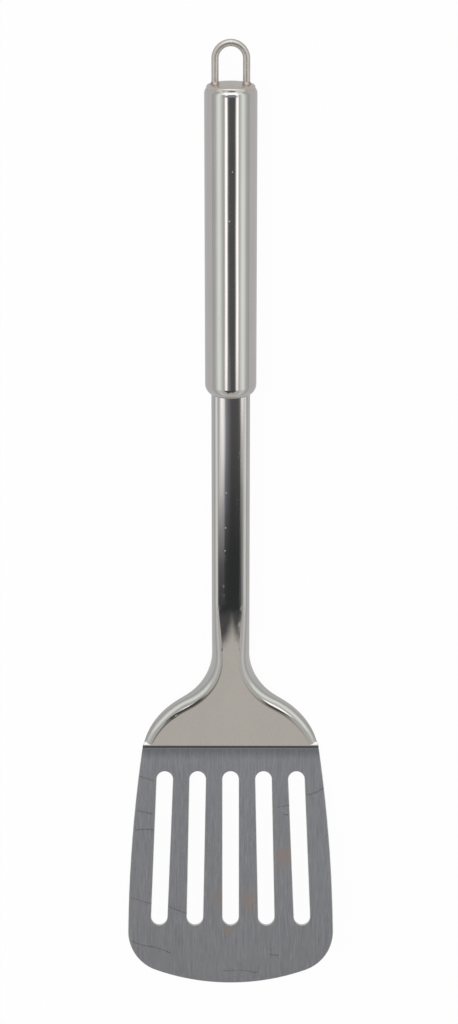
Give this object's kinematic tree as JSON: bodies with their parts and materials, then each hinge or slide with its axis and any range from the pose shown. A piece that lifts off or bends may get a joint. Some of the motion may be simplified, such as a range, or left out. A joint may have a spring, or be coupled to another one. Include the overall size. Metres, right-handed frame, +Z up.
{
  "type": "slotted turner (fish spatula)",
  "caption": "Kitchen turner with a wide fan-slotted steel blade, a pressed channel stem, a round hollow grip and a wire hanging loop.",
  "frame": {"origin": "on the table the turner lies on, under the middle of its overall length and width", "axes": "+X across the blade, +Y along the grip from the blade's tip towards the hanging loop, +Z up out of the table, on the food side"},
  "size_m": [0.077, 0.3504, 0.0243],
  "materials": {
    "satin_blade": "satin, brushed along the blade, with fine wear scratches",
    "polished_stem": "polished",
    "polished_grip": "polished",
    "satin_cap": "satin",
    "loop_wire": "satin",
    "weld": "as welded, wiped clean",
    "bush_steel": "as turned"
  },
  "bodies": {
    "root": {"blade": "satin_blade", "stem": "polished_stem", "handle_tube": "polished_grip", "end_cap": "satin_cap", "hanging_loop": "loop_wire", "loop_welds": "weld", "tang_bush": "bush_steel"}
  },
  "joints": []
}
